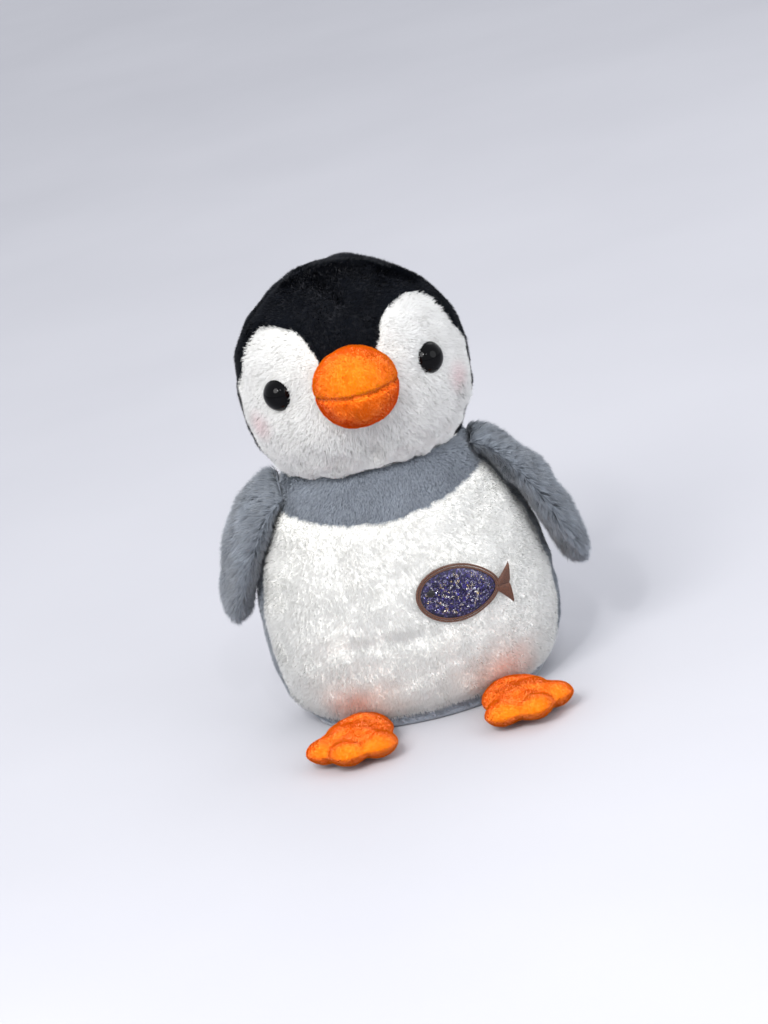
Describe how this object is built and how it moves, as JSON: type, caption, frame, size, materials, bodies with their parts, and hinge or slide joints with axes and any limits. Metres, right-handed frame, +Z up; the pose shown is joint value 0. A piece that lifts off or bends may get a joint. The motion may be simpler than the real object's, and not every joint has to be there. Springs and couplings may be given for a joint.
{
  "type": "plush penguin",
  "caption": "Stuffed toy penguin with a white belly and cheeks, round beak, hanging wings, flat three-toed feet and a fish patch.",
  "frame": {"origin": "centre of the flat base that the toy stands on", "axes": "+Z up, the toy faces -Y, and its own left side is at +X"},
  "size_m": [0.181, 0.1418, 0.228],
  "materials": {
    "white_plush": "cream white short-pile plush",
    "grey_plush": "blue-grey plush, longer on the wings",
    "black_plush": "blue-black short-pile plush",
    "orange_velboa": "orange velboa, very short pile",
    "eye_plastic": "polished black",
    "washer_plastic": "natural white moulded",
    "glitter_fabric": "dark purple fabric with silver and gold glitter",
    "brown_thread": "dark brown satin stitch",
    "black_thread": "black satin stitch",
    "fibre_filling": "white polyester fibre"
  },
  "bodies": {
    "torso": {"torso_filling": "fibre_filling", "belly_panel": "white_plush", "collar_panel": "grey_plush", "back_panel_left": "grey_plush", "back_panel_right": "grey_plush", "base_panel": "grey_plush", "fish_patch": "glitter_fabric", "fish_border": "brown_thread", "fish_tail": "brown_thread", "fish_eye": "black_thread"},
    "head": {"head_filling": "fibre_filling", "face_panel_left": "white_plush", "face_panel_right": "white_plush", "forehead_panel": "black_plush", "back_head_panel_left": "black_plush", "back_head_panel_right": "black_plush", "left_eye": "eye_plastic", "right_eye": "eye_plastic", "left_eye_washer": "washer_plastic", "right_eye_washer": "washer_plastic", "beak_upper_panel": "orange_velboa", "beak_lower_panel": "orange_velboa", "beak_filling": "fibre_filling"},
    "left_wing": {"left_wing_outer_panel": "grey_plush", "left_wing_inner_panel": "grey_plush", "left_wing_filling": "fibre_filling"},
    "left_foot": {"left_foot_top_panel": "orange_velboa", "left_foot_sole_panel": "orange_velboa", "left_foot_filling": "fibre_filling"},
    "right_wing": {"right_wing_outer_panel": "grey_plush", "right_wing_inner_panel": "grey_plush", "right_wing_filling": "fibre_filling"},
    "right_foot": {"right_foot_top_panel": "orange_velboa", "right_foot_sole_panel": "orange_velboa", "right_foot_filling": "fibre_filling"}
  },
  "joints": [
    {"name": "head_turn", "type": "hinge", "parent": "torso", "child": "head", "pos_m": [0, 0, 0.1295], "axis": [0, 0, 1], "range_deg": [-20, 20], "stiffness_Nm_per_rad": 0.05},
    {"name": "left_wing_flap", "type": "hinge", "parent": "torso", "child": "left_wing", "pos_m": [0.0585, 0, 0.1178], "axis": [0, -1, 0], "range_deg": [-2, 75], "stiffness_Nm_per_rad": 0.02},
    {"name": "right_wing_flap", "type": "hinge", "parent": "torso", "child": "right_wing", "pos_m": [-0.0585, 0, 0.1178], "axis": [0, 0.9397, 0.342], "range_deg": [-2, 75], "stiffness_Nm_per_rad": 0.02},
    {"name": "left_foot_flex", "type": "hinge", "parent": "torso", "child": "left_foot", "pos_m": [0.036, -0.0465, 0.0075], "axis": [-0.9563, -0.2924, 0], "range_deg": [-30, 35], "stiffness_Nm_per_rad": 0.02},
    {"name": "right_foot_flex", "type": "hinge", "parent": "torso", "child": "right_foot", "pos_m": [-0.036, -0.0465, 0.0075], "axis": [-0.9563, 0.2924, 0], "range_deg": [-30, 35], "stiffness_Nm_per_rad": 0.02}
  ]
}
